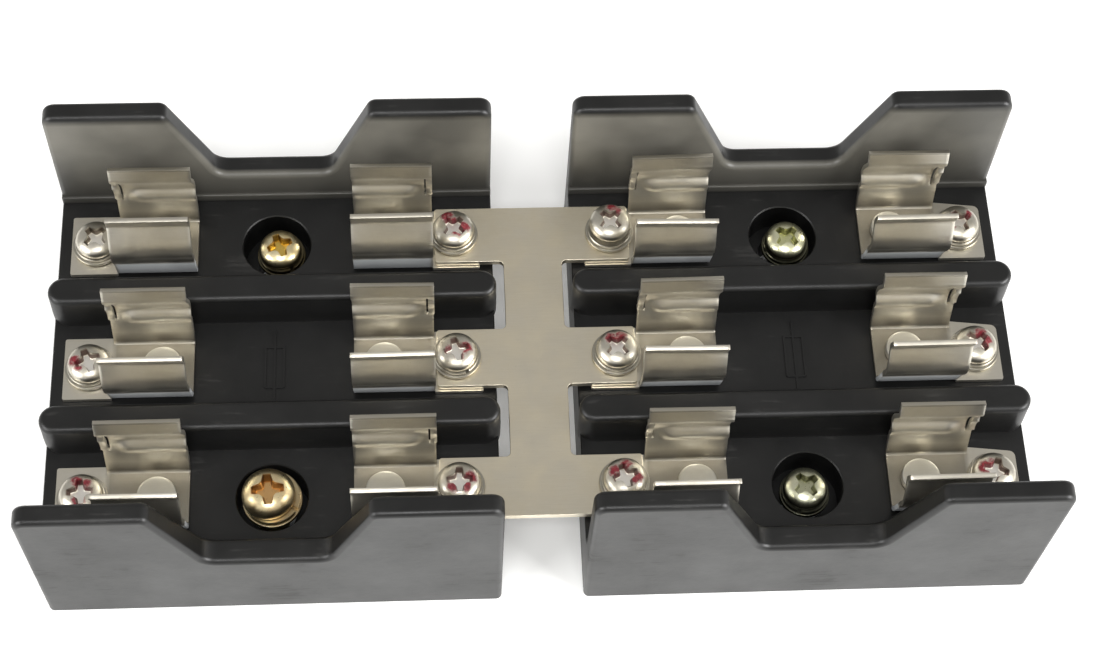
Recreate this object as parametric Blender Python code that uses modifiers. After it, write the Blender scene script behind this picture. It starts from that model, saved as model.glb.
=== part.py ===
"""A linked pair of three-pole cartridge fuse holders.

Two moulded bases stand side by side along X. Each carries three poles, front
to back along Y. A pole is two plated spring clips that face each other, and a
cartridge fuse lies in them along X. A flat link plate joins the six clips in
the middle, under their terminal screws.

Run it with: blender --background --python part.py
"""

import math

import bmesh
import bpy
from mathutils import Matrix, Vector

# --------------------------------------------------------------------------
# Driving dimensions, in millimetres unless a name says otherwise
# --------------------------------------------------------------------------
MM = 0.001
FUSE_LENGTH = 50.8
FUSE_DIAMETER = 14.3
POLE_PITCH = 22.7
BLOCK_CENTRE = 42.35          # X of each base's centre, left one negative
GAP = 0.2                     # between pieces that touch on the real object

# Moulded base
BASE_HALF_LENGTH = 35.8
BASE_HALF_DEPTH = 36.2
FLOOR = 12.5                  # height of the floor under the clips
WALL_TOP = 36.3
WALL_THICK_TOP = 3.4
WALL_THICK_FLOOR = 4.3
LEDGE_TOP = 14.2              # the wider foot of the walls and barriers
LEDGE = 0.5
NOTCH_FLOOR = 19.3
NOTCH_HALF_FLOOR = 9.3
NOTCH_HALF_TOP = 16.3
NOTCH_RADIUS = 2.6
WALL_END_RADIUS = 2.0
BARRIER_TOP = 19.3
BARRIER_HALF = 2.55
BARRIER_SUNK = 3.0            # the barriers and their feet start inside the floor
FOOT_SUNK = 0.8
BARRIER_OVERHANG = 0.4        # the feet stand out of the base's ends

# Mounting wells, on the outer poles' centre lines
WELL_DIAMETER = 11.2
WELL_FLOOR = 6.0
MOUNT_HOLE_DIAMETER = 7.0

# Spring clip, pressed from one strip
STRIP = 0.75
TAB_TOP = FLOOR + GAP + STRIP
CLIP_HALF_WIDTH = 5.4
CLIP_INNER_END = 12.85
CLIP_OUTER_END = 33.65
ARM_OUTER_END = FUSE_LENGTH / 2 + 0.45
CLIP_HEIGHT = 15.3
BEND_INSET = 0.7              # where the bend into each arm starts, in from its face
STOP_POINTS = (2, 6)          # the end stop's lowest and highest points on the arm's curve
TAB_START = ARM_OUTER_END + 0.35   # the tab is full width from here out
TAB_PROUD = 0.003             # keeps the tab's faces apart from the strip's
STOP_REACH = 1.6
SCREW_PLACE = 29.4
RIVET_PLACE = 17.8
TAB_HOLE_DIAMETER = 4.6
RIVET_HOLE_DIAMETER = 4.0

# Link plate
LINK_THICK = 1.1
LINK_WEB_HALF = 4.8
LINK_REACH = 16.1
LINK_FINGER_HALF = 5.1

# Terminal screws, M4, and what is under them
SCREW_DIAMETER = 4.0
SCREW_LENGTH = 8.0
SCREW_HEAD_DIAMETER = 6.8
SCREW_HEAD_HEIGHT = 2.0
FLAT_WASHER_DIAMETER = 8.0
FLAT_WASHER_THICK = 0.5
SPRING_WASHER_DIAMETER = 7.2
SPRING_WASHER_THICK = 0.7
LOOSENED_LIFT = 1.2           # one screw stands this much off its washers
MOUNTING_FLAT_WASHER = (1.0, 0.8)      # wider than its screw's head by, thickness
MOUNTING_SPRING_WASHER = (0.6, 1.1)
NUT_SIDE = 7.0                # the square nut staked under each clip's tab
NUT_THICK = 3.2
POCKET_SIDE = 7.5
POCKET_DEPTH = STRIP + NUT_THICK
BASE_SCREW_HOLE = 5.0
BASE_SCREW_HOLE_FLOOR = 5.0
# One pair of clips has been bent closed: how far the back and front tips move
BENT_PAIR = ("left", "back")
BENT_TIPS = (0.8, 2.0)

# Clip rivets
RIVET_HEAD_DIAMETER = 6.3
RIVET_HEAD_HEIGHT = 1.3
RIVET_SHANK_DIAMETER = 3.4
RIVET_TAIL_DIAMETER = 6.0
RIVET_TAIL_HEIGHT = 1.2
COUNTERBORE_DIAMETER = 8.0
COUNTERBORE_TOP = 4.0

ROUND = 16                    # sides of the larger round pieces
SMALL_ROUND = 10              # sides of screws, rivets and washers
CUT_SPARE = 4.0               # how far a cutter reaches past what it cuts

BLOCKS = {"left": -1, "right": 1}
POLES = {"back": 1, "middle": 0, "front": -1}
ROLES = ("outer", "inner")    # away from the link plate, or under it

# Each mounting screw: diameter, head diameter, head height, length, lean of
# the loose screw from the well's centre in X and Y
MOUNTING_SCREWS = {
    ("left", "back"): (4.0, 7.0, 2.3, 12.0, 0.6, -0.9),
    ("left", "front"): (5.0, 8.4, 3.0, 14.0, -0.45, -0.35),
    ("right", "back"): (4.0, 7.0, 2.3, 12.0, 0.5, -1.0),
    ("right", "front"): (4.0, 7.0, 2.3, 12.0, -0.5, -0.7),
}


# --------------------------------------------------------------------------
# Helpers
# --------------------------------------------------------------------------
def clear_scene():
    for old in list(bpy.data.objects):
        bpy.data.objects.remove(old, do_unlink=True)


def make_collection(name):
    collection = bpy.data.collections.new(name)
    bpy.context.scene.collection.children.link(collection)
    return collection


def make_material(name, colour, roughness, metallic):
    material = bpy.data.materials.new(name)
    material.use_nodes = True
    shader = material.node_tree.nodes["Principled BSDF"]
    shader.inputs["Base Color"].default_value = (*colour, 1.0)
    shader.inputs["Roughness"].default_value = roughness
    shader.inputs["Metallic"].default_value = metallic
    material.diffuse_color = (*colour, 1.0)
    return material


def add_object(name, mesh, collection, material=None, place=(0, 0, 0), parent=None):
    """Link a mesh into the scene at a place given in millimetres."""
    thing = bpy.data.objects.new(name, mesh)
    thing.location = Vector(place) * MM
    if material is not None and not mesh.materials:
        mesh.materials.append(material)
    thing.parent = parent
    collection.objects.link(thing)
    return thing


def mesh_from(bm, name):
    """Turn a bmesh drawn in millimetres into a mesh in metres."""
    bmesh.ops.scale(bm, vec=(MM, MM, MM), verts=bm.verts)
    bmesh.ops.recalc_face_normals(bm, faces=bm.faces)
    mesh = bpy.data.meshes.new(name)
    bm.to_mesh(mesh)
    bm.free()
    return mesh


def prism(bm, outline, low, high, frame=None):
    """Extrude a closed outline of (x, y) points from low to high along Z."""
    bottom = [bm.verts.new((x, y, low)) for x, y in outline]
    face = bm.faces.new(bottom)
    grown = bmesh.ops.extrude_face_region(bm, geom=[face])["geom"]
    top = [item for item in grown if isinstance(item, bmesh.types.BMVert)]
    bmesh.ops.translate(bm, vec=(0, 0, high - low), verts=top)
    if frame is not None:
        bmesh.ops.transform(bm, matrix=frame, verts=bottom + top)
    return bottom + top


def cylinder(bm, diameter, low, high, sides, place=(0, 0)):
    """A closed upright cylinder between two heights."""
    matrix = Matrix.Translation((place[0], place[1], (low + high) / 2))
    bmesh.ops.create_cone(bm, cap_ends=True, segments=sides, radius1=diameter / 2,
                          radius2=diameter / 2, depth=high - low, matrix=matrix)


def square(bm, side, low, high, place=(0, 0)):
    """A closed upright square bar between two heights."""
    matrix = Matrix.Translation((place[0], place[1], (low + high) / 2))
    matrix @= Matrix.Diagonal((side, side, high - low, 1))
    bmesh.ops.create_cube(bm, size=1, matrix=matrix)


def rounded(corners, steps=3):
    """Round the corners of an outline. Each corner is (x, y, radius)."""
    points = []
    count = len(corners)
    for index, (x, y, radius) in enumerate(corners):
        here = Vector((x, y))
        if radius <= 0:
            points.append((x, y))
            continue
        before = Vector(corners[index - 1][:2]) - here
        after = Vector(corners[(index + 1) % count][:2]) - here
        half = before.angle(after) / 2
        centre = here + (before.normalized() + after.normalized()).normalized() * (
            radius / math.sin(half))
        first = here + before.normalized() * (radius / math.tan(half)) - centre
        last = here + after.normalized() * (radius / math.tan(half)) - centre
        sweep = first.angle_signed(last)
        for step in range(steps + 1):
            turned = first.copy()
            turned.rotate(Matrix.Rotation(-sweep * step / steps, 2))
            points.append(tuple(centre + turned))
    return points


def baked(thing):
    """The object's evaluated mesh, as a mesh of its own; the object goes."""
    bpy.context.view_layer.update()
    graph = bpy.context.evaluated_depsgraph_get()
    mesh = bpy.data.meshes.new_from_object(thing.evaluated_get(graph))
    bpy.data.objects.remove(thing, do_unlink=True)
    return mesh


def shade(mesh, angle_degrees=35):
    mesh.shade_smooth()
    mesh.set_sharp_from_angle(angle=math.radians(angle_degrees))


def boolean(thing, cutter, operation):
    modifier = thing.modifiers.new(cutter.name, "BOOLEAN")
    modifier.operation = operation
    modifier.solver = "EXACT"
    modifier.object = cutter
    cutter.hide_render = True
    cutter.display_type = "WIRE"


def turned(name, profile, cutters):
    """Turn a profile of (radius, height) points, outer side from the top."""
    points = [(radius * MM, 0, height * MM) for radius, height in profile]
    edges = [(index, index + 1) for index in range(len(points) - 1)]
    if profile[0][0] > 0:
        edges.append((len(points) - 1, 0))
    mesh = bpy.data.meshes.new(name)
    mesh.from_pydata(points, edges, [])
    thing = add_object(name, mesh, cutters)
    turn = thing.modifiers.new("turn", "SCREW")
    turn.steps = turn.render_steps = SMALL_ROUND
    turn.use_merge_vertices = True
    turn.merge_threshold = 0.01 * MM
    mesh = baked(thing)
    shade(mesh)
    return mesh


# --------------------------------------------------------------------------
# Moulded base
# --------------------------------------------------------------------------
def base_section():
    """The base's outline across the poles, as (y, z) points."""
    face_top = BASE_HALF_DEPTH - WALL_THICK_TOP
    face_floor = BASE_HALF_DEPTH - WALL_THICK_FLOOR
    right = [
        (BASE_HALF_DEPTH, 0), (BASE_HALF_DEPTH, WALL_TOP), (face_top, WALL_TOP),
        (face_floor, LEDGE_TOP), (face_floor - LEDGE, LEDGE_TOP), (face_floor - LEDGE, FLOOR),
    ]
    return right + [(-y, z) for y, z in reversed(right)]


def wall_window():
    """What is cut from each side wall: the notch and the rounded end corners."""
    above = WALL_TOP + CUT_SPARE
    beyond = BASE_HALF_LENGTH + CUT_SPARE
    slope = (NOTCH_HALF_TOP - NOTCH_HALF_FLOOR) / (WALL_TOP - NOTCH_FLOOR)
    flare = NOTCH_HALF_TOP + slope * (above - WALL_TOP)
    notch = rounded([(-flare, above, 0), (-NOTCH_HALF_FLOOR, NOTCH_FLOOR, NOTCH_RADIUS),
                     (NOTCH_HALF_FLOOR, NOTCH_FLOOR, NOTCH_RADIUS), (flare, above, 0)])
    end = [(beyond, WALL_TOP - WALL_END_RADIUS)]
    steps = 3
    for step in range(steps + 1):
        angle = math.radians(90) * step / steps
        end.append((BASE_HALF_LENGTH - WALL_END_RADIUS * (1 - math.cos(angle)),
                    WALL_TOP - WALL_END_RADIUS * (1 - math.sin(angle))))
    end += [(BASE_HALF_LENGTH - WALL_END_RADIUS, above), (beyond, above)]
    return notch, end, [(-x, z) for x, z in end]


def stadium(half_length, half_width, sides=6):
    """An outline with straight sides along X and half-round ends."""
    points = []
    for end, start in ((1, -90), (-1, 90)):
        for step in range(sides + 1):
            angle = math.radians(start + 180 * step / sides)
            points.append((end * (half_length - half_width) + half_width * math.cos(angle),
                           half_width * math.sin(angle)))
    return points


def base_mesh(cutters):
    bm = bmesh.new()
    stand_up = Matrix(((0, 0, 1, 0), (1, 0, 0, 0), (0, 1, 0, 0), (0, 0, 0, 1)))
    prism(bm, base_section(), -BASE_HALF_LENGTH, BASE_HALF_LENGTH, stand_up)
    body = add_object("base_blank", mesh_from(bm, "base_blank"), cutters)

    bm = bmesh.new()
    face_walls = Matrix(((1, 0, 0, 0), (0, 0, -1, 0), (0, 1, 0, 0), (0, 0, 0, 1)))
    reach = BASE_HALF_DEPTH + CUT_SPARE
    for outline in wall_window():
        prism(bm, outline, -reach, reach, face_walls)
    boolean(body, add_object("wall_cutter", mesh_from(bm, "wall_cutter"), cutters), "DIFFERENCE")

    for sign in (-1, 1):
        bm = bmesh.new()
        middle = Matrix.Translation((0, sign * POLE_PITCH / 2, 0))
        prism(bm, stadium(BASE_HALF_LENGTH, BARRIER_HALF), FLOOR - BARRIER_SUNK, BARRIER_TOP,
              middle)
        name = f"barrier_{sign}"
        boolean(body, add_object(name, mesh_from(bm, name), cutters), "UNION")
        bm = bmesh.new()
        prism(bm, stadium(BASE_HALF_LENGTH + BARRIER_OVERHANG, BARRIER_HALF + LEDGE),
              FLOOR - FOOT_SUNK, LEDGE_TOP, middle)
        name = f"barrier_foot_{sign}"
        boolean(body, add_object(name, mesh_from(bm, name), cutters), "UNION")

    bm = bmesh.new()
    below = -CUT_SPARE
    above = FLOOR + CUT_SPARE
    for pole in POLES.values():
        for end in (-1, 1):
            square(bm, POCKET_SIDE, FLOOR - POCKET_DEPTH, above,
                   (end * SCREW_PLACE, pole * POLE_PITCH))
            cylinder(bm, COUNTERBORE_DIAMETER, below, COUNTERBORE_TOP, ROUND,
                     (end * RIVET_PLACE, pole * POLE_PITCH))
        if pole:
            cylinder(bm, WELL_DIAMETER, WELL_FLOOR, above, ROUND, (0, pole * POLE_PITCH))
    boolean(body, add_object("pockets", mesh_from(bm, "pockets"), cutters), "DIFFERENCE")

    bm = bmesh.new()
    for pole in POLES.values():
        for end in (-1, 1):
            cylinder(bm, BASE_SCREW_HOLE, BASE_SCREW_HOLE_FLOOR, above, SMALL_ROUND,
                     (end * SCREW_PLACE, pole * POLE_PITCH))
            cylinder(bm, RIVET_HOLE_DIAMETER, below, above, SMALL_ROUND,
                     (end * RIVET_PLACE, pole * POLE_PITCH))
        if pole:
            cylinder(bm, MOUNT_HOLE_DIAMETER, below, above, ROUND, (0, pole * POLE_PITCH))
    boolean(body, add_object("through_holes", mesh_from(bm, "through_holes"), cutters),
            "DIFFERENCE")
    mesh = baked(body)
    shade(mesh)
    return mesh


# --------------------------------------------------------------------------
# Spring clip
# --------------------------------------------------------------------------
def arm_curve():
    """Half of the clip's section: (distance from the centre, height over the tab).

    The arm leans out to the fuse's widest point, closes over it, and flares at
    its tip. The lower end is in the middle of the strip's thickness.
    """
    root = CLIP_HALF_WIDTH - STRIP / 2
    grip = FUSE_DIAMETER / 2
    return [
        (root - BEND_INSET, -STRIP / 2), (root, 0.2), (root + 1.0, 3.8), (grip - 0.25, 6.2),
        (grip - 0.05, 7.8), (grip - 0.35, 9.4), (grip - 1.15, 11.3), (grip - 1.8, 12.8),
        (grip - 1.05, CLIP_HEIGHT),
    ]


def clip_mesh(name, direction, squeeze, cutters):
    """One clip. direction is the side of the base; squeeze closes each arm's tip."""
    bm = bmesh.new()
    curve = arm_curve()
    ends = (CLIP_INNER_END, ARM_OUTER_END)
    rows = {}
    for side, closed in zip((1, -1), squeeze):
        rows[side] = [[bm.verts.new((direction * x, side * (y - closed * max(z, 0) / CLIP_HEIGHT), z))
                       for y, z in curve] for x in ends]
        for a, b in zip(range(len(curve) - 1), range(1, len(curve))):
            bm.faces.new((rows[side][0][a], rows[side][1][a], rows[side][1][b], rows[side][0][b]))
        # The end stop: a flap turned in from the arm's outer edge
        first, last = STOP_POINTS
        edge = rows[side][1]
        tips = [bm.verts.new((direction * ARM_OUTER_END, edge[i].co.y - side * STOP_REACH, edge[i].co.z))
                for i in range(first, last + 1)]
        for i in range(last - first):
            bm.faces.new((edge[first + i], edge[first + i + 1], tips[i + 1], tips[i]))
    back, front = rows[1], rows[-1]
    bm.faces.new((back[0][0], back[1][0], front[1][0], front[0][0]))
    outer = [bm.verts.new((direction * CLIP_OUTER_END, side * curve[0][0], -STRIP / 2))
             for side in (1, -1)]
    bm.faces.new((back[1][0], outer[0], outer[1], front[1][0]))
    clip = add_object(name, mesh_from(bm, name), cutters)
    sheet = clip.modifiers.new("strip", "SOLIDIFY")
    sheet.thickness = STRIP * MM
    sheet.offset = 0.0
    sheet.use_even_offset = True

    # The tab reaches the clip's full width past the arms
    bm = bmesh.new()
    corners = [(TAB_START, -CLIP_HALF_WIDTH), (CLIP_OUTER_END, -CLIP_HALF_WIDTH),
               (CLIP_OUTER_END, CLIP_HALF_WIDTH), (TAB_START, CLIP_HALF_WIDTH)]
    prism(bm, [(direction * x, y) for x, y in corners], -STRIP - TAB_PROUD, TAB_PROUD)
    tab = add_object(name + "_tab", mesh_from(bm, name + "_tab"), cutters)
    boolean(clip, tab, "UNION")
    bm = bmesh.new()
    square(bm, NUT_SIDE, -STRIP - NUT_THICK, -STRIP / 2, (direction * SCREW_PLACE, 0))
    nut = add_object(name + "_nut", mesh_from(bm, name + "_nut"), cutters)
    boolean(clip, nut, "UNION")

    bm = bmesh.new()
    below = -STRIP - NUT_THICK - CUT_SPARE
    cylinder(bm, TAB_HOLE_DIAMETER, below, CUT_SPARE, SMALL_ROUND, (direction * SCREW_PLACE, 0))
    cylinder(bm, RIVET_HOLE_DIAMETER, below, CUT_SPARE, SMALL_ROUND, (direction * RIVET_PLACE, 0))
    holes = add_object(name + "_holes", mesh_from(bm, name + "_holes"), cutters)
    boolean(clip, holes, "DIFFERENCE")
    mesh = baked(clip)
    shade(mesh)
    return mesh


# --------------------------------------------------------------------------
# Link plate, screws, washers, nuts, rivets
# --------------------------------------------------------------------------
def link_mesh(cutters):
    """A web with three fingers on each side, and a hole in each finger."""
    edge = []
    for pole in (-1, 0, 1):
        low = pole * POLE_PITCH - LINK_FINGER_HALF
        high = pole * POLE_PITCH + LINK_FINGER_HALF
        edge += [(LINK_WEB_HALF, low), (LINK_REACH, low), (LINK_REACH, high),
                 (LINK_WEB_HALF, high)]
    edge = edge[1:-1]         # the end fingers run straight into the web's ends
    bm = bmesh.new()
    prism(bm, edge + [(-x, -y) for x, y in edge], 0, LINK_THICK)
    plate = add_object("link_blank", mesh_from(bm, "link_blank"), cutters)
    bm = bmesh.new()
    for side in BLOCKS.values():
        for pole in POLES.values():
            cylinder(bm, TAB_HOLE_DIAMETER, -CUT_SPARE, LINK_THICK + CUT_SPARE, SMALL_ROUND,
                     (side * (BLOCK_CENTRE - SCREW_PLACE), pole * POLE_PITCH))
    boolean(plate, add_object("link_holes", mesh_from(bm, "link_holes"), cutters), "DIFFERENCE")
    return baked(plate)


def screw_mesh(name, diameter, head_diameter, head_height, length, cutters):
    """A pan head screw, origin under its head, with a cross recess."""
    edge = head_diameter / 2
    shank = diameter / 2
    profile = [
        (0, head_height), (edge * 0.7, head_height * 0.92), (edge, head_height * 0.4),
        (edge, 0), (shank, 0), (shank, -length), (0, -length),
    ]
    screw = add_object(name, turned(name, profile, cutters), cutters)
    bm = bmesh.new()
    long_arm, short_arm = head_diameter * 0.29, head_diameter * 0.07
    outline = []
    for quarter in range(4):
        turn = Matrix.Rotation(math.radians(90 * quarter), 2)
        outline += [tuple(turn @ Vector(point)) for point in (
            (short_arm, short_arm), (short_arm, long_arm), (-short_arm, long_arm))]
    prism(bm, outline, head_height * 0.35, head_height + CUT_SPARE)
    recess = add_object(name + "_recess", mesh_from(bm, name + "_recess"), cutters)
    boolean(screw, recess, "DIFFERENCE")
    mesh = baked(screw)
    shade(mesh)
    return mesh


def washers_mesh(name, hole, flat, spring, cutters):
    """A flat washer with a spring washer on it; each is (diameter, thickness)."""
    inner, flat_edge, spring_edge = hole / 2, flat[0] / 2, spring[0] / 2
    flat_top = flat[1]
    top = flat_top + spring[1]
    return turned(name, [
        (inner, top), (spring_edge, top), (spring_edge, flat_top), (flat_edge, flat_top),
        (flat_edge, 0), (inner, 0),
    ], cutters)


def rivet_mesh(cutters):
    """A flat head in the clip, a shank through the base and a tail under it."""
    head_low = GAP
    head_high = head_low + RIVET_HEAD_HEIGHT
    tail_high = COUNTERBORE_TOP - GAP - TAB_TOP
    tail_low = tail_high - RIVET_TAIL_HEIGHT
    head, shank, tail = (diameter / 2 for diameter in (
        RIVET_HEAD_DIAMETER, RIVET_SHANK_DIAMETER, RIVET_TAIL_DIAMETER))
    return turned("clip_rivet", [
        (0, head_high), (head, head_high), (head, head_low),
        (shank, head_low), (shank, tail_high), (tail, tail_high), (tail, tail_low), (0, tail_low),
    ], cutters)


# --------------------------------------------------------------------------
# Assembly
# --------------------------------------------------------------------------
def build_block(block, parts, cutters, looks, meshes):
    side = BLOCKS[block]
    hub = bpy.data.objects.new(f"{block}_block", None)
    hub.location = (side * BLOCK_CENTRE * MM, 0, 0)
    parts.objects.link(hub)
    add_object(f"base_{block}", meshes["base"], parts, looks["phenolic"], parent=hub)

    for pole, row in POLES.items():
        for role in ROLES:
            direction = side if role == "outer" else -side
            place = f"{block}_{pole}_{role}"
            squeeze = BENT_TIPS if (block, pole) == BENT_PAIR else (0.0, 0.0)
            clip = clip_mesh(f"clip_{place}", direction, squeeze, cutters)
            add_object(f"clip_{place}", clip, parts, looks["nickel"],
                       (0, row * POLE_PITCH, TAB_TOP), hub)
            add_object(f"clip_rivet_{place}", meshes["rivet"], parts, looks["nickel"],
                       (direction * RIVET_PLACE, row * POLE_PITCH, TAB_TOP), hub)

            seat = TAB_TOP + GAP + (LINK_THICK + GAP if role == "inner" else 0)
            spot = (direction * SCREW_PLACE, row * POLE_PITCH)
            add_object(f"terminal_washers_{place}", meshes["terminal_washers"], parts,
                       looks["nickel"], (*spot, seat), hub)
            under_head = seat + FLAT_WASHER_THICK + SPRING_WASHER_THICK + GAP
            loose = LOOSENED_LIFT if place == "right_back_inner" else 0
            add_object(f"terminal_screw_{place}", meshes["terminal_screw"], parts,
                       looks["nickel"], (*spot, under_head + loose), hub)

        if row:
            build_mounting_screw(block, pole, parts, cutters, looks, hub)


def build_mounting_screw(block, pole, parts, cutters, looks, hub):
    """A loose screw that stands in its well on its point, with its washers."""
    diameter, head, head_height, length, lean_x, lean_y = MOUNTING_SCREWS[(block, pole)]
    spot = (lean_x, POLES[pole] * POLE_PITCH + lean_y)
    under_head = length + GAP
    name = f"mounting_screw_{block}_{pole}"
    mesh = screw_mesh(name, diameter, head, head_height, length, cutters)
    add_object(name, mesh, parts, looks["yellow_zinc"], (*spot, under_head), hub)
    flat, spring = ((head + wider, thick) for wider, thick in (
        MOUNTING_FLAT_WASHER, MOUNTING_SPRING_WASHER))
    name = f"mounting_washers_{block}_{pole}"
    mesh = washers_mesh(name, diameter + 2 * GAP, flat, spring, cutters)
    add_object(name, mesh, parts, looks["yellow_zinc"],
               (*spot, under_head - GAP - flat[1] - spring[1]), hub)


def main():
    clear_scene()
    parts = make_collection("fuse_holder_pair")
    cutters = make_collection("cutters")
    looks = {
        "phenolic": make_material("black_phenolic", (0.02, 0.02, 0.021), 0.42, 0.0),
        "nickel": make_material("nickel_plate", (0.66, 0.62, 0.54), 0.28, 1.0),
        "yellow_zinc": make_material("yellow_zinc_plate", (0.72, 0.6, 0.3), 0.32, 1.0),
    }
    meshes = {
        "base": base_mesh(cutters),
        "rivet": rivet_mesh(cutters),
        "terminal_screw": screw_mesh("terminal_screw", SCREW_DIAMETER, SCREW_HEAD_DIAMETER,
                                     SCREW_HEAD_HEIGHT, SCREW_LENGTH, cutters),
        "terminal_washers": washers_mesh(
            "terminal_washers", SCREW_DIAMETER + 2 * GAP,
            (FLAT_WASHER_DIAMETER, FLAT_WASHER_THICK),
            (SPRING_WASHER_DIAMETER, SPRING_WASHER_THICK), cutters),
    }
    for block in BLOCKS:
        build_block(block, parts, cutters, looks, meshes)
    add_object("link_plate", link_mesh(cutters), parts, looks["nickel"], (0, 0, TAB_TOP + GAP))


main()
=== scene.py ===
"""Looks for a linked pair of three-pole cartridge fuse holders.

Each visible piece is modelled here in detail in place of its plain CAD node,
where the frame's boxes put it. Shapes are drawn in millimetres, and MM turns
them into the scene's metres.
"""
import math

import bmesh
import bpy
from mathutils import Matrix, Vector, noise


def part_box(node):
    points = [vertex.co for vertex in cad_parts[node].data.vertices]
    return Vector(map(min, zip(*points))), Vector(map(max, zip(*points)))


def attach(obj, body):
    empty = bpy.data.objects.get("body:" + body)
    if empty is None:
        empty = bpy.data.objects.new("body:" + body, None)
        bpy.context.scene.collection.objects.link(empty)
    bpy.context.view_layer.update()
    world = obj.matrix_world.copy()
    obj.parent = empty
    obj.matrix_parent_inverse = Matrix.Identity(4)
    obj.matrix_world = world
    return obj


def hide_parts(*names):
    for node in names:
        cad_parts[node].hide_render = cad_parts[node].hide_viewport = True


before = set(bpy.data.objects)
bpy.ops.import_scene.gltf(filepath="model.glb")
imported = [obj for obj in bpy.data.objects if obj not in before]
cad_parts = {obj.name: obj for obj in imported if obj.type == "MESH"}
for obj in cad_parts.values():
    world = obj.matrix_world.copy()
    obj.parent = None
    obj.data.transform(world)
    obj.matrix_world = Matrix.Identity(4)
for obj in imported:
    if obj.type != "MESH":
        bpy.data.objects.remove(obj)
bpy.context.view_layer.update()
MM = 0.001

BLOCKS = {"left": -1, "right": 1}
POLES = {"back": 1, "middle": 0, "front": -1}
ROLES = ("outer", "inner")


def node_box(node):
    """A CAD node's lowest and highest corners, in millimetres."""
    low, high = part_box(node)
    return low / MM, high / MM


def node_axis(node):
    """The middle of a CAD node in plan, in millimetres."""
    low, high = node_box(node)
    return (low.x + high.x) / 2, (low.y + high.y) / 2


# --------------------------------------------------------------------------
# Driving dimensions, in millimetres. The frame gives the outer ones.
# --------------------------------------------------------------------------
BASE_LOW, BASE_HIGH = node_box("base_left")
BARRIER_OVERHANG = 0.4
BASE_HALF_LENGTH = (BASE_HIGH.x - BASE_LOW.x) / 2 - BARRIER_OVERHANG
BASE_HALF_DEPTH = BASE_HIGH.y
WALL_TOP = BASE_HIGH.z
BLOCK_CENTRE = -node_axis("base_left")[0]
POLE_PITCH = node_axis("clip_rivet_left_back_outer")[1]
RIVET_PLACE = -BLOCK_CENTRE - node_axis("clip_rivet_left_back_outer")[0]
SCREW_PLACE = -BLOCK_CENTRE - node_axis("terminal_screw_left_back_outer")[0]

# The base. Heights are from the table, the plan is from the block's centre.
FLOOR = 12.5
WALL_THICK_TOP = 3.4
WALL_THICK_FLOOR = 4.3
LEDGE = 0.5                   # how far the walls' and barriers' feet stand out
LEDGE_TOP = 14.2
NOTCH_FLOOR = 19.3
NOTCH_HALF_FLOOR = 9.3
NOTCH_HALF_TOP = 16.3
BARRIER_TOP = 19.3
BARRIER_HALF = 2.55
BARRIER_FOOT_HALF = BARRIER_HALF + LEDGE
SLAB_INSET = 1.5              # the slab's sides are inside the walls
MOULDED_EDGE = 0.9            # radius of the walls' and barriers' edges
WELL_DIAMETER = 11.2          # for the mounting screws
WELL_FLOOR = 6.0
WELL_LIP = 0.18
MOUNT_HOLE_DIAMETER = 7.0
POCKET_SIDE = 7.5             # for the square nuts
POCKET_FLOOR = 8.55
BASE_SCREW_HOLE = 5.0
BASE_SCREW_HOLE_FLOOR = 5.0
COUNTERBORE_DIAMETER = 8.0    # for the rivets' tails
COUNTERBORE_TOP = 4.0
GAP = 0.2                     # clearance between stacked parts

# The clips and the link plate. Heights are over the top of the clip's tab,
# which is at TAB_TOP over the table.
STRIP = 0.75                  # thickness of the clips' metal
TAB_TOP = FLOOR + GAP + STRIP
CLIP_HALF_WIDTH = 5.4
CLIP_INNER_END = 12.85
CLIP_OUTER_END = 33.65
ARM_OUTER_END = 25.85
EAR_OUTER_END = 26.0          # the flange and the ear stand out past the arm
EAR_WIDTH = 0.95
SLOT_WIDTH = 0.30             # between the arm and its ear
CLIP_HEIGHT = 15.3
FUSE_RADIUS = 7.15
BEAD = (4.6, 7.3)             # heights between which the bead stands in
BEAD_DEPTH = 0.8
BEAD_ENDS = (CLIP_INNER_END - 3.0, 23.9)    # it runs out through the inner edge
EAR = (4.8, 11.2)             # heights between which the ear is cut free
EAR_DEPTH = 0.85
RIVET_HOLE = 4.0
TAB_HOLE = 4.6
LINK_WEB_HALF = 4.8
LINK_FINGER_HALF = 5.1

# The screws, nuts and washers
HEAD_DIAMETER = 6.8
HEAD_HEIGHT = 2.0
SCREW_DIAMETER = 4.0
SCREW_LENGTH = 8.0
PITCH = 0.7
NUT_SIDE = 7.0
NUT_THICK = 3.2
FLAT_WASHER_DIAMETER = 8.0
FLAT_WASHER_THICK = 0.5
SPRING_WASHER_DIAMETER = 7.2
SPRING_WASHER_THICK = 0.6
MOUNTING_FLAT_THICK = 0.8
MOUNTING_SPRING_THICK = 0.9


# --------------------------------------------------------------------------
# Mesh helpers
# --------------------------------------------------------------------------
def mesh_from(bm, name):
    """Turn a bmesh drawn in millimetres into a mesh in metres."""
    bmesh.ops.scale(bm, vec=(MM, MM, MM), verts=bm.verts)
    bmesh.ops.recalc_face_normals(bm, faces=bm.faces)
    mesh = bpy.data.meshes.new(name)
    bm.to_mesh(mesh)
    bm.free()
    return mesh


def add_object(name, mesh, place=(0, 0, 0)):
    """Link a mesh into the scene, at a place in millimetres."""
    thing = bpy.data.objects.new(name, mesh)
    thing.location = Vector(place) * MM
    bpy.context.scene.collection.objects.link(thing)
    return thing


def shade(mesh, degrees=30):
    """Shade smooth, except across edges sharper than the angle."""
    mesh.shade_smooth()
    mesh.set_sharp_from_angle(angle=math.radians(degrees))


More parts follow.
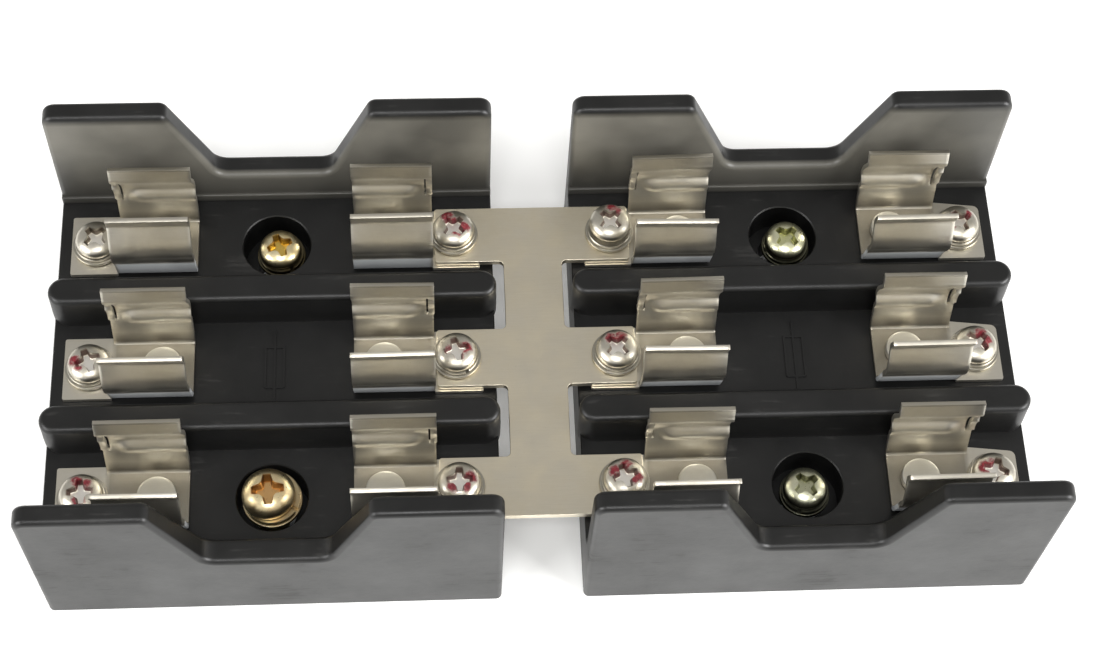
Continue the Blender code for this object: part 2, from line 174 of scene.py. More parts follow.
def baked(thing):
    """The object's evaluated mesh, as a mesh of its own; the object goes."""
    bpy.context.view_layer.update()
    graph = bpy.context.evaluated_depsgraph_get()
    mesh = bpy.data.meshes.new_from_object(thing.evaluated_get(graph))
    bpy.data.objects.remove(thing, do_unlink=True)
    return mesh


def bevelled(mesh, width, segments=3, degrees=35):
    """The mesh with its sharp edges rounded."""
    thing = add_object("bevel_blank", mesh)
    bevel = thing.modifiers.new("edges", "BEVEL")
    bevel.width = width * MM
    bevel.segments = segments
    bevel.limit_method = "ANGLE"
    bevel.angle_limit = math.radians(degrees)
    return baked(thing)


def boolean(mesh, other, operation):
    """The union of two closed meshes, or the first less the second."""
    thing = add_object("boolean_blank", mesh)
    tool = add_object("boolean_tool", other)
    modifier = thing.modifiers.new("cut", "BOOLEAN")
    modifier.operation = operation
    modifier.solver = "EXACT"
    modifier.object = tool
    result = baked(thing)
    bpy.data.objects.remove(tool, do_unlink=True)
    return result


def prism(bm, outline, low, high):
    """Extrude a closed outline of (x, y) points from low to high along Z."""
    bottom = [bm.verts.new((x, y, low)) for x, y in outline]
    top = [bm.verts.new((x, y, high)) for x, y in outline]
    bm.faces.new(list(reversed(bottom)))
    bm.faces.new(top)
    count = len(outline)
    for i in range(count):
        j = (i + 1) % count
        bm.faces.new((bottom[i], bottom[j], top[j], top[i]))


def block(bm, low, high):
    """A closed box between two corners."""
    middle = (Vector(low) + Vector(high)) / 2
    size = Vector(high) - Vector(low)
    matrix = Matrix.Translation(middle) @ Matrix.Diagonal((*size, 1))
    bmesh.ops.create_cube(bm, size=1, matrix=matrix)


def cylinder(bm, diameter, low, high, sides, place=(0, 0), top_diameter=None):
    """A closed upright cylinder or cone between two heights."""
    wide = diameter if top_diameter is None else top_diameter
    matrix = Matrix.Translation((place[0], place[1], (low + high) / 2))
    bmesh.ops.create_cone(bm, cap_ends=True, segments=sides, radius1=diameter / 2,
                          radius2=wide / 2, depth=high - low, matrix=matrix)


def rounded(corners, steps=6):
    """Round the corners of an outline. Each corner is (x, y, radius)."""
    points = []
    count = len(corners)
    for index, (x, y, radius) in enumerate(corners):
        here = Vector((x, y))
        if radius <= 0:
            points.append((x, y))
            continue
        before = Vector(corners[index - 1][:2]) - here
        after = Vector(corners[(index + 1) % count][:2]) - here
        half = before.angle(after) / 2
        centre = here + (before.normalized() + after.normalized()).normalized() * (
            radius / math.sin(half))
        first = here + before.normalized() * (radius / math.tan(half)) - centre
        last = here + after.normalized() * (radius / math.tan(half)) - centre
        sweep = first.angle_signed(last)
        for step in range(steps + 1):
            turned = first.copy()
            turned.rotate(Matrix.Rotation(-sweep * step / steps, 2))
            points.append(tuple(centre + turned))
    return points


def stadium(half_length, half_width, sides=16):
    """An outline with straight sides along X and half-round ends."""
    points = []
    for end, start in ((1, -90), (-1, 90)):
        for step in range(sides + 1):
            angle = math.radians(start + 180 * step / sides)
            points.append((end * (half_length - half_width) + half_width * math.cos(angle),
                           half_width * math.sin(angle)))
    return points


def ring_at(bm, radius, height, sides):
    """A level ring of vertices about Z, or a single one where the radius is 0."""
    if radius == 0:
        return [bm.verts.new((0, 0, height))]
    return [bm.verts.new((radius * math.cos(math.tau * i / sides),
                          radius * math.sin(math.tau * i / sides), height))
            for i in range(sides)]


def revolve(bm, profile, sides, close=True):
    """Turn (radius, height) points, in order, about Z."""
    rings = [ring_at(bm, radius, height, sides) for radius, height in profile]
    pairs = list(zip(rings, rings[1:]))
    if close:
        pairs.append((rings[-1], rings[0]))
    for upper, lower in pairs:
        bridge(bm, upper, lower)


def bridge(bm, upper, lower):
    """Faces between two rings; a ring of one point is a tip."""
    sides = max(len(upper), len(lower))
    for i in range(sides):
        j = (i + 1) % sides
        if len(upper) == 1:
            bm.faces.new((upper[0], lower[i], lower[j]))
        elif len(lower) == 1:
            bm.faces.new((upper[i], lower[0], upper[j]))
        else:
            bm.faces.new((upper[i], lower[i], lower[j], upper[j]))


def smooth_curve(points, steps):
    """Points on a Catmull-Rom curve through the given ones."""
    padded = [points[0]] + list(points) + [points[-1]]
    curve = []
    for i in range(len(points) - 1):
        a, b, c, d = (Vector(p) for p in padded[i:i + 4])
        for step in range(steps):
            t = step / steps
            curve.append(0.5 * ((2 * b) + (c - a) * t + (2 * a - 5 * b + 4 * c - d) * t * t
                                + (3 * b - a - 3 * c + d) * t ** 3))
    curve.append(Vector(points[-1]))
    return curve


# --------------------------------------------------------------------------
# Materials
# --------------------------------------------------------------------------
class Graph:
    """A material's node tree, built one node a call."""

    def __init__(self, name):
        self.material = bpy.data.materials.new(name)
        self.material.use_nodes = True
        self.tree = self.material.node_tree
        self.shader = self.tree.nodes["Principled BSDF"]

    def add(self, kind, inputs=None, **settings):
        """A new shader node with its inputs and settings filled in."""
        node = self.tree.nodes.new("ShaderNode" + kind)
        for key, value in settings.items():
            setattr(node, key, value)
        for key, value in (inputs or {}).items():
            self.put(node.inputs[key], value)
        return node

    def put(self, socket, value):
        """Link another node's output to the socket, or set the socket's value."""
        if isinstance(value, bpy.types.NodeSocket):
            self.tree.links.new(value, socket)
        else:
            socket.default_value = value

    def surface(self, **values):
        """Set the shader's inputs, with an underscore for each blank in a name."""
        for key, value in values.items():
            self.put(self.shader.inputs[key.replace("_", " ")], value)

    def coordinates(self, stretch=(1, 1, 1), shift=0.0):
        """The piece's own coordinates, stretched, in millimetres."""
        own = self.add("TexCoord").outputs["Object"]
        return self.add("Mapping", {"Vector": own, "Location": (shift, shift * 0.7, shift * 1.3),
                                    "Scale": tuple(s / MM for s in stretch)}).outputs["Vector"]

    def noise(self, where, scale, detail=4.0, roughness=0.55):
        """Cloudy noise, mostly between 0.3 and 0.7."""
        return self.add("TexNoise", {"Vector": where, "Scale": scale, "Detail": detail,
                                     "Roughness": roughness}).outputs["Fac"]

    def ramp(self, factor, *stops):
        """A colour ramp. Each stop is (place, colour or grey value)."""
        node = self.add("ValToRGB", {"Fac": factor})
        elements = node.color_ramp.elements
        while len(elements) < len(stops):
            elements.new(0.5)
        for element, (place, colour) in zip(elements, stops):
            element.position = place
            if isinstance(colour, (int, float)):
                colour = (colour, colour, colour)
            element.color = (*colour, 1.0)
        return node.outputs["Color"]

    def mix(self, factor, first, second):
        """Blend two colours."""
        node = self.add("Mix", data_type="RGBA")
        self.put(node.inputs[0], factor)
        self.put(node.inputs[6], first)
        self.put(node.inputs[7], second)
        return node.outputs[2]

    def maths(self, operation, first, second=0.0):
        """One sum on numbers or on other nodes' outputs."""
        node = self.add("Math", operation=operation)
        self.put(node.inputs[0], first)
        self.put(node.inputs[1], second)
        return node.outputs[0]

    def times(self, first, second):
        """The product of two numbers or outputs."""
        return self.maths("MULTIPLY", first, second)

    def axes(self, where=None):
        """The piece's own X, Y and Z, in millimetres."""
        if where is None:
            where = self.coordinates()
        return self.add("SeparateXYZ", {"Vector": where}).outputs

    def between(self, value, low, high, to_low=0.0, to_high=1.0):
        """Map low..high onto to_low..to_high, level outside it."""
        return self.add("MapRange", {"Value": value, "From Min": low, "From Max": high,
                                     "To Min": to_low, "To Max": to_high}).outputs["Result"]

    def bump(self, height, strength, distance, normal=None):
        """Relief on the surface, up to distance millimetres deep."""
        inputs = {"Height": height, "Strength": strength, "Distance": distance * MM}
        if normal is not None:
            inputs["Normal"] = normal
        return self.add("Bump", inputs).outputs["Normal"]


def phenolic_material():
    """Moulded black phenolic: satin, a little dusty, with handling scuffs, and painted light on
    the rear wall's inner face.
    """
    g = Graph("black_phenolic")
    where = g.coordinates()
    patches = g.noise(where, 0.09, 5, 0.6)
    grain = g.noise(where, 3.0, 3, 0.6)
    streaks = g.noise(g.coordinates((0.12, 1.0, 1.0)), 1.3, 4, 0.6)
    dust = g.ramp(patches, (0.35, 0.0), (0.75, 1.0))
    colour = g.mix(dust, (0.0022, 0.0022, 0.0021, 1), (0.0052, 0.0051, 0.0048, 1))
    scuffs = g.ramp(g.times(streaks, patches), (0.33, 0.0), (0.42, 1.0))
    colour = g.mix(g.times(scuffs, 0.25), colour, (0.045, 0.043, 0.04, 1))
    # Painted light: the inner face of the rear wall is paler, more so towards the top, fading out
    # at its top edge and at the floor, and patchy
    axes = g.axes()
    rear_wall_painted_light = g.between(axes["Z"], 15.0, 30.0, 0.3, 1.0)
    rear_wall_painted_light = g.times(rear_wall_painted_light, g.between(axes["Z"], WALL_TOP - 2.0, WALL_TOP - 0.5, 1.0, 0.0))
    rear_wall_painted_light = g.times(rear_wall_painted_light, g.between(axes["Z"], FLOOR, FLOOR + 0.8))
    rear_wall_painted_light = g.times(rear_wall_painted_light, g.between(axes["Y"], 27.0, 28.0))
    rear_wall_painted_light = g.times(rear_wall_painted_light, g.between(axes["Y"], 32.9, 33.5, 1.0, 0.0))
    rear_wall_painted_light = g.times(rear_wall_painted_light, g.between(g.noise(where, 0.05, 3, 0.5), 0.3, 0.65, 0.4, 1.0))
    colour = g.mix(rear_wall_painted_light, colour, (0.17, 0.162, 0.138, 1))
    roughness = g.between(patches, 0.3, 0.7, 0.36, 0.48)
    roughness = g.maths("ADD", roughness, g.times(scuffs, 0.12))
    normal = g.bump(grain, 0.10, 0.05)
    normal = g.bump(patches, 0.25, 0.35, normal)
    g.surface(Base_Color=colour, Roughness=roughness, IOR=1.48, Normal=normal)
    return g.material


def strip_material(name, colour, warm, shift, clip=False):
    """Nickel plated strip: satin, with fine rolling lines along X and faint stains.

    shift moves the patterns, so that two pieces don't match. On a clip, painted
    shade darkens the foot and, much more, the trough between the arms, the tips'
    cut edges are darker, and the foot of the front arm is rougher, with a painted
    bluish reflection.
    """
    g = Graph(name)
    where = g.coordinates(shift=shift)
    clouds = g.noise(where, 0.22, 5, 0.6)
    lines = g.noise(g.coordinates((0.06, 1.0, 1.0), shift), 5.0, 4, 0.65)
    specks = g.noise(where, 2.6, 4, 0.7)
    tone = g.mix(g.between(clouds, 0.35, 0.7), (*colour, 1), (*warm, 1))
    tone = g.mix(g.between(lines, 0.3, 0.75, 0.0, 0.22), tone,
                 (colour[0] * 0.72, colour[1] * 0.70, colour[2] * 0.66, 1))
    spots = g.ramp(specks, (0.66, 0.0), (0.74, 1.0))
    tone = g.mix(g.times(spots, 0.35), tone, (0.30, 0.25, 0.17, 1))
    roughness = g.between(clouds, 0.3, 0.7, 0.30, 0.42)
    roughness = g.maths("ADD", roughness, g.times(spots, 0.15))
    if clip:
        axes = g.axes()
        # Painted shade: a little darker low down, the tab too, and much darker low between the
        # arms, in the trough
        low = g.between(axes["Z"], 0.4, 2.4, 1.0, 0.0)
        inside = g.between(g.maths("ABSOLUTE", axes["X"]), 25.3, 26.2, 1.0, 0.0)
        tone = g.mix(g.times(low, 0.12), tone, (0.20, 0.18, 0.14, 1))
        tone = g.mix(g.times(g.times(low, inside), 0.62), tone, (0.12, 0.105, 0.08, 1))
        tip = g.between(axes["Z"], CLIP_HEIGHT - 0.22, CLIP_HEIGHT - 0.12)
        tone = g.mix(g.times(tip, 0.55), tone, (0.30, 0.28, 0.24, 1))
        # Painted reflection: a pale bluish band on the outside of the front arm's foot, which is
        # also rougher
        painted_reflection_band = g.times(g.between(axes["Z"], 4.2, 5.0, 1.0, 0.0),
                       g.between(axes["Y"], -4.6, -4.3, 1.0, 0.0))
        painted_reflection_band = g.times(painted_reflection_band, inside)
        tone = g.mix(g.times(painted_reflection_band, 0.8), tone, (0.50, 0.53, 0.56, 1))
        roughness = g.maths("ADD", roughness, g.times(painted_reflection_band, 0.4))
    normal = g.bump(lines, 0.10, 0.03)
    normal = g.bump(clouds, 0.12, 0.12, normal)
    g.surface(Base_Color=tone, Roughness=roughness, Metallic=1.0, Normal=normal)
    return g.material


def distance_in_plan(g, where, spot=(0, 0, 0)):
    """How far a point is from an upright line through the spot."""
    flat = g.add("VectorMath", {0: where, 1: (1, 1, 0)}, operation="MULTIPLY").outputs[0]
    away = g.add("VectorMath", {0: flat, 1: spot}, operation="DISTANCE")
    return away.outputs["Value"]


def recess_depths(g, where, head_height, size):
    """Masks for the walls and for the bottom of a screw's cross recess."""
    height = g.axes(where)["Z"]
    inside = g.between(distance_in_plan(g, where), 2.15 * size, 2.3 * size, 1.0, 0.0)
    top = head_height - 0.35 * size
    bottom = head_height - 1.5 * size
    inside = g.times(inside, g.between(height, top - 0.25, top, 1.0, 0.0))
    inside = g.times(inside, g.between(height, bottom - 1.0, bottom - 0.9))
    walls = g.times(inside, g.between(height, bottom, bottom + 0.15))
    return walls, g.maths("SUBTRACT", inside, walls)


def screw_material(name, blobs, stain, tint=1.0):
    """Bright plated steel, with red paint on the head.

    Each blob of paint is (x, y, radius). A lower tint paints shade: a darker copy of the same
    plating, as on the washers under the heads.
    """
    g = Graph(name)
    where = g.coordinates()
    clouds = g.noise(where, 0.5, 4, 0.6)
    fine = g.noise(where, 2.5, 4, 0.65)
    bright = [tint * a for a in (0.60, 0.57, 0.50)] + [1]
    dull = [tint * a for a in (0.49, 0.46, 0.38)] + [1]
    tone = g.mix(g.between(clouds, 0.3, 0.7), bright, dull)
    tone = g.mix(g.between(fine, 0.55, 0.75, 0.0, stain), tone, (0.36, 0.26, 0.16, 1))
    walls, bottom = recess_depths(g, where, HEAD_HEIGHT, 1.0)
    # Painted shade on the recess's walls, and a painted highlight at its bottom
    tone = g.mix(g.times(walls, 0.8), tone, (0.13, 0.10, 0.075, 1))
    tone = g.mix(bottom, tone, (0.98, 0.95, 0.88, 1))
    roughness = g.between(fine, 0.3, 0.7, 0.30, 0.42)
    metallic = 1.0
    if blobs:
        paint = g.times(walls, 0.35)
        ragged = g.times(g.maths("SUBTRACT", g.noise(where, 0.9, 3, 0.6), 0.5), 1.5)
        for x, y, radius in blobs:
            reach = g.maths("ADD", distance_in_plan(g, where, (x, y, 0)), ragged)
            blob = g.between(reach, 0.85 * radius - 0.25, 0.85 * radius + 0.2, 1.0, 0.0)
            paint = g.maths("MAXIMUM", paint, blob)
        paint = g.times(paint, g.maths("SUBTRACT", 1.0, bottom))
        # No paint on the shank
        paint = g.times(paint, g.between(g.axes(where)["Z"], 0.3, 0.7))
        thin = g.noise(where, 1.7, 3, 0.6)
        paint = g.times(paint, g.between(thin, 0.30, 0.50, 0.6, 1.0))
        red = g.mix(g.between(fine, 0.35, 0.65), (0.23, 0.018, 0.027, 1), (0.09, 0.005, 0.011, 1))
        # Painted shade: the paint is darker on the recess's walls
        red = g.mix(g.times(walls, 0.6), red, (0.06, 0.008, 0.010, 1))
        tone = g.mix(paint, tone, red)
        metallic = g.maths("SUBTRACT", 1.0, g.times(paint, 0.85))
        roughness = g.maths("ADD", roughness, g.times(paint, 0.12))
    g.surface(Base_Color=tone, Roughness=roughness, Metallic=metallic,
              Normal=g.bump(fine, 0.08, 0.03))
    return g.material


def zinc_material(name, light, deep, head_height, size, foot_shade=0.0):
    """Yellow chromated zinc, deeper in tint at the bottom of the recess, with painted shade on the
    recess's walls and low down on the screw.
    """
    g = Graph(name)
    where = g.coordinates()
    drift = g.noise(where, 0.35, 3, 0.55)
    fine = g.noise(where, 2.2, 4, 0.65)
    middling = [0.6 * a + 0.4 * b for a, b in zip(light, deep)] + [1]
    tone = g.mix(g.between(drift, 0.35, 0.65), (*light, 1), middling)
    tone = g.mix(g.between(fine, 0.58, 0.8, 0.0, 0.35), tone, (0.30, 0.22, 0.09, 1))
    height = g.axes(where)["Z"]
    # Painted shade: darker low down, on the head's foot and the shank
    tone = g.mix(g.between(height, 0.5, 1.4, foot_shade, 0.0), tone, (0.025, 0.02, 0.012, 1))
    walls, bottom = recess_depths(g, where, head_height, size)
    # Painted shade on the recess's walls
    tone = g.mix(g.times(walls, 0.85), tone, [0.42 * a for a in deep] + [1])
    tone = g.mix(bottom, tone, [min(1.0, 1.1 * a) for a in deep] + [1])
    g.surface(Base_Color=tone, Roughness=g.between(fine, 0.3, 0.7, 0.26, 0.36), Metallic=1.0)
    return g.material


# --------------------------------------------------------------------------
# Moulded base
# --------------------------------------------------------------------------
def wall_mesh(side):
    """One long side wall, with its notch and its drafted inner face."""
    outline = rounded([
        (-BASE_HALF_LENGTH, 0, 0), (BASE_HALF_LENGTH, 0, 0),
        (BASE_HALF_LENGTH, WALL_TOP, 2.0), (NOTCH_HALF_TOP, WALL_TOP, 1.6),
        (NOTCH_HALF_FLOOR, NOTCH_FLOOR, 2.8), (-NOTCH_HALF_FLOOR, NOTCH_FLOOR, 2.8),
        (-NOTCH_HALF_TOP, WALL_TOP, 1.6), (-BASE_HALF_LENGTH, WALL_TOP, 2.0),
    ])
    draft = (WALL_THICK_FLOOR - WALL_THICK_TOP) / (WALL_TOP - LEDGE_TOP)
    bm = bmesh.new()
    inner = []
    outer = []
    for x, z in outline:
        thick = WALL_THICK_TOP + draft * (WALL_TOP - z)
        inner.append(bm.verts.new((x, side * (BASE_HALF_DEPTH - thick), z)))
        outer.append(bm.verts.new((x, side * BASE_HALF_DEPTH, z)))
    bm.faces.new(inner)
    bm.faces.new(list(reversed(outer)))
    bridge(bm, inner, outer)
    return bevelled(mesh_from(bm, "wall"), MOULDED_EDGE, 6)


def barrier_mesh(side):
    """A barrier between two poles, with draft, flaring into its wider foot."""
    # Each level: its height, half its width, and how far it stands out at its ends
    levels = (
        (FLOOR - 3, BARRIER_FOOT_HALF, BARRIER_OVERHANG),
        (FLOOR + 0.6, BARRIER_FOOT_HALF, BARRIER_OVERHANG),
        (FLOOR + 1.7, BARRIER_HALF + 0.3, BARRIER_OVERHANG),
        (FLOOR + 3.2, BARRIER_HALF + 0.08, BARRIER_OVERHANG - 0.05),
        (BARRIER_TOP, BARRIER_HALF - 0.12, BARRIER_OVERHANG - 0.1),
    )
    bm = bmesh.new()
    rings = []
    for height, half, past in levels:
        outline = stadium(BASE_HALF_LENGTH + past, half)
        rings.append([bm.verts.new((x, y, height)) for x, y in outline])
    bm.faces.new(rings[0])
    bm.faces.new(list(reversed(rings[-1])))
    for lower, upper in zip(rings, rings[1:]):
        bridge(bm, lower, upper)
    bmesh.ops.transform(bm, matrix=Matrix.Translation((0, side * POLE_PITCH / 2, 0)),
                        verts=bm.verts)
    return bevelled(mesh_from(bm, "barrier"), MOULDED_EDGE, 6, 50)


def fuse_symbol():
    """A raised drawing of a fuse on the middle pole's floor: a box on a line.

    The bars differ a little in height, so that no two of their faces coincide.
    """
    low, high, half_line = FLOOR - 0.3, FLOOR + 0.22, 0.17
    long, wide, reach = 3.6, 1.5, 6.4
    bars = []
    for side in (-1, 1):
        x, y = side * wide, side * long
        bars.append(((x - half_line, -long), (x + half_line, long), 0.0))
        bars.append(((-wide, y - half_line), (wide, y + half_line), 0.01))
    bars.append(((-half_line, -reach), (half_line, reach), 0.02))
    for (x0, y0), (x1, y1), lower in bars:
        bm = bmesh.new()
        block(bm, (x0, y0, low), (x1, y1, high - lower))
        yield mesh_from(bm, "symbol_bar")


def base_mesh():
    """One moulded base: slab, walls, ledges, barriers and symbol, less its holes."""
    bm = bmesh.new()
    block(bm, (-BASE_HALF_LENGTH, -BASE_HALF_DEPTH + SLAB_INSET, 0),
          (BASE_HALF_LENGTH, BASE_HALF_DEPTH - SLAB_INSET, FLOOR))
    body = bevelled(mesh_from(bm, "slab"), 0.3)
    for side in (-1, 1):
        body = boolean(body, wall_mesh(side), "UNION")
        bm = bmesh.new()
        face = BASE_HALF_DEPTH - WALL_THICK_FLOOR - LEDGE
        ends = sorted((side * face, side * (BASE_HALF_DEPTH - 1.2)))
        block(bm, (-BASE_HALF_LENGTH, ends[0], FLOOR - 4), (BASE_HALF_LENGTH, ends[1], LEDGE_TOP))
        body = boolean(body, bevelled(mesh_from(bm, "ledge"), 0.3), "UNION")
        body = boolean(body, barrier_mesh(side), "UNION")
    for bar in fuse_symbol():
        body = boolean(body, bar, "UNION")

    bm = bmesh.new()
    for pole in POLES.values():
        row = pole * POLE_PITCH
        for end in (-1, 1):
            x = end * SCREW_PLACE
            half = POCKET_SIDE / 2
            block(bm, (x - half, row - half, POCKET_FLOOR), (x + half, row + half, FLOOR + 3))
            x = end * RIVET_PLACE
            cylinder(bm, COUNTERBORE_DIAMETER, -2, COUNTERBORE_TOP, 40, (x, row))
        if pole:
            cylinder(bm, WELL_DIAMETER, WELL_FLOOR, FLOOR + 3, 64, (0, row))
    body = boolean(body, mesh_from(bm, "pockets"), "DIFFERENCE")
    bm = bmesh.new()
    for pole in POLES.values():
        row = pole * POLE_PITCH
        for end in (-1, 1):
            cylinder(bm, BASE_SCREW_HOLE, BASE_SCREW_HOLE_FLOOR, FLOOR + 2, 32,
                     (end * SCREW_PLACE, row))
            cylinder(bm, RIVET_HOLE, -1, FLOOR + 2, 32, (end * RIVET_PLACE, row))
        if pole:
            cylinder(bm, MOUNT_HOLE_DIAMETER, -2, FLOOR + 2, 48, (0, row))
    body = boolean(body, mesh_from(bm, "holes"), "DIFFERENCE")
    bm = bmesh.new()
    for pole in (-1, 1):
        cylinder(bm, WELL_DIAMETER - 2 * WELL_LIP, FLOOR - 2 * WELL_LIP, FLOOR + WELL_LIP, 64,
                 (0, pole * POLE_PITCH), WELL_DIAMETER + 4 * WELL_LIP)
    body = boolean(body, mesh_from(bm, "well_lips"), "DIFFERENCE")
    shade(body)
    return body


# --------------------------------------------------------------------------
# Spring clip
# --------------------------------------------------------------------------
def bump_between(value, low, high):
    """0 outside low..high, and a smooth rise to 1 in the middle."""
    if not low < value < high:
        return 0.0
    return math.sin(math.pi * (value - low) / (high - low)) ** 2


def arm_rows():
    """The arm's section as (distance from the centre, height over the tab)."""
    root = CLIP_HALF_WIDTH - STRIP / 2
    grip = FUSE_RADIUS
    rise = [
        (root - 0.7, -STRIP / 2), (root - 0.1, 0.15), (root + 0.35, 1.4), (root + 1.0, 3.8),
        (grip - 0.25, 6.2), (grip - 0.05, 7.8), (grip - 0.35, 9.4), (grip - 1.15, 11.3),
        (grip - 1.8, 12.8), (grip - 1.6, 13.7), (grip - 1.05, CLIP_HEIGHT),
    ]
    return smooth_curve(rise, 5)


def arm_grid(bm, side, closed, twist):
    """One arm's mid-surface. Returns the row of points where it joins the tab.

    closed is how far its tip is bent in, and twist how much further its outer
    end is. The back arm (side 1) has an ear past a slot, and a deeper bead.
    """
    rows = arm_rows()
    slot_in = ARM_OUTER_END - EAR_WIDTH - SLOT_WIDTH + 0.1
    slot_out = slot_in + SLOT_WIDTH
    steps = 22
    inner_columns = [CLIP_INNER_END + (slot_in - CLIP_INNER_END) * i / steps
                     for i in range(steps + 1)]
    grid = []
    for y, z in rows:
        flange = min(max((z - EAR[0]) / 0.5, 0.0), 1.0)
        edge = ARM_OUTER_END + (EAR_OUTER_END - ARM_OUTER_END) * flange
        columns = inner_columns + [slot_out, (slot_out + edge) / 2, edge]
        line = []
        for index, u in enumerate(columns):
            height = max(z, 0.0) / CLIP_HEIGHT
            bead = BEAD_DEPTH if side > 0 else 0.4 * BEAD_DEPTH
            ends = min(1.0, 2.2 * math.sqrt(bump_between(u, *BEAD_ENDS)))
            depth = bead * math.sqrt(bump_between(z, *BEAD)) * ends
            if index > steps:
                depth = (EAR_DEPTH if side > 0 else 0.0) * min(1.0, 2.5 * bump_between(z, *EAR))
            across = y - depth - closed * height + twist * height * (u - 19.0) / 7.0
            line.append(bm.verts.new((u, side * across, z)))
        grid.append(line)
    for r in range(len(grid) - 1):
        height = (rows[r][1] + rows[r + 1][1]) / 2
        for c in range(len(grid[0]) - 1):
            beside_slot = c == steps
            if side > 0 and beside_slot and EAR[0] < height < EAR[1]:
                continue
            bm.faces.new((grid[r][c], grid[r + 1][c], grid[r + 1][c + 1], grid[r][c + 1]))
    return grid[0]


def clip_mesh(direction, closed, twist, trimmed):
    """One clip. closed bends each arm's tip in; a trimmed tab narrows outwards."""
    # The arms and the strip's foot between them, as one surface that is thickened
    bm = bmesh.new()
    back = arm_grid(bm, 1, closed[0], twist)
    front = arm_grid(bm, -1, closed[1], twist)
    across = 6
    lines = [back]
    for step in range(1, across):
        share = step / across
        lines.append([bm.verts.new(a.co.lerp(b.co, share)) for a, b in zip(back, front)])
    lines.append(front)
    for first, second in zip(lines, lines[1:]):
        for i in range(len(first) - 1):
            bm.faces.new((first[i], first[i + 1], second[i + 1], second[i]))
    edge = [line[-1] for line in lines]
    neck = [bm.verts.new((ARM_OUTER_END + 0.15, v.co.y, v.co.z)) for v in edge]
    for i in range(across):
        bm.faces.new((edge[i], neck[i], neck[i + 1], edge[i + 1]))
    mesh = mesh_from(bm, "clip_strip")
    thing = add_object("clip_blank", mesh)
    sheet = thing.modifiers.new("strip", "SOLIDIFY")
    sheet.thickness = STRIP * MM
    sheet.offset = 0.0
    sheet.use_even_offset = True
    strip = baked(thing)

    # The tab, a hair thicker than the strip, so that no faces coincide
    bm = bmesh.new()
    near, far, half = ARM_OUTER_END + 0.03, CLIP_OUTER_END, CLIP_HALF_WIDTH
    narrow = 0.9 if trimmed else 0.0
    corner = 1.0 if trimmed else 0.35
    tab = rounded([(near, -half, 0.1), (far, -half, 0.35), (far, half - narrow, corner),
                   (near, half, 0.1)])
    prism(bm, tab, -STRIP - 0.004, 0.004)
    strip = boolean(strip, mesh_from(bm, "tab"), "UNION")
    bm = bmesh.new()
    cylinder(bm, TAB_HOLE, -4, 4, 40, (SCREW_PLACE, 0))
    cylinder(bm, RIVET_HOLE, -4, 4, 40, (RIVET_PLACE, 0))
    strip = boolean(strip, mesh_from(bm, "clip_holes"), "DIFFERENCE")
    strip = bevelled(strip, 0.07, 2, 50)
    if direction < 0:
        strip.transform(Matrix.Diagonal((-1, 1, 1, 1)))
        strip.flip_normals()
    shade(strip, 40)
    return strip


# --------------------------------------------------------------------------
# Link plate, rivets, nuts, screws and washers
# --------------------------------------------------------------------------
def link_mesh():
    """A web with three fingers on each side, its slots' corners rounded."""
    low, high = node_box("link_plate")
    reach, half_width = high.x, high.y
    inner_radius, outer_radius = 0.8, 0.5
    edge = []
    for pole in (-1, 0, 1):
        for side in (-1, 1):
            y = pole * POLE_PITCH + side * LINK_FINGER_HALF
            root, end = (LINK_WEB_HALF, y, inner_radius), (reach, y, outer_radius)
            if abs(y) > half_width - 0.1:
                edge.append(end)
            elif side < 0:
                edge += [root, end]
            else:
                edge += [end, root]
    outline = rounded(edge + [(-x, -y, r) for x, y, r in edge])
    bm = bmesh.new()
    prism(bm, outline, low.z, high.z)
    plate = mesh_from(bm, "plate")
    bm = bmesh.new()
    for side in (-1, 1):
        for pole in POLES.values():
            cylinder(bm, TAB_HOLE, low.z - 2, high.z + 2, 40,
                     (side * (BLOCK_CENTRE - SCREW_PLACE), pole * POLE_PITCH))
    plate = boolean(plate, mesh_from(bm, "plate_holes"), "DIFFERENCE")
    plate = bevelled(plate, 0.17, 3, 50)
    shade(plate, 40)
    return plate


def rivet_mesh(low, high):
    """A flat pressed head, a shank through the base, and a rolled tail."""
    head, shank, tail = 3.15, 1.7, 3.0
    under = TAB_TOP + GAP
    crown = [(0, high), (head - 0.45, high - 0.03), (head - 0.16, high - 0.14),
             (head - 0.03, high - 0.34), (head, high - 0.6), (head - 0.05, under + 0.05)]
    rolled = [(shank, low + 1.2), (tail - 0.25, low + 1.2), (tail, low + 0.85),
              (tail - 0.1, low + 0.4), (tail - 0.6, low + 0.05), (shank + 0.2, low),
              (0.9, low + 0.3), (0, low + 0.8)]
    bm = bmesh.new()
    revolve(bm, crown + [(head - 0.2, under), (shank, under)] + rolled, 48, close=False)
    mesh = mesh_from(bm, "rivet")
    shade(mesh)
    return mesh


def nut_mesh():
    """A square nut staked under the tab, its corners eased."""
    bm = bmesh.new()
    half = NUT_SIDE / 2
    block(bm, (-half, -half, -STRIP - NUT_THICK), (half, half, -STRIP - 0.02))
    nut = bevelled(mesh_from(bm, "nut"), 0.35, 2)
    bm = bmesh.new()
    cylinder(bm, SCREW_DIAMETER + 0.1, -STRIP - NUT_THICK - 1, 1, 40)
    nut = boolean(nut, mesh_from(bm, "nut_hole"), "DIFFERENCE")
    shade(nut)
    return nut


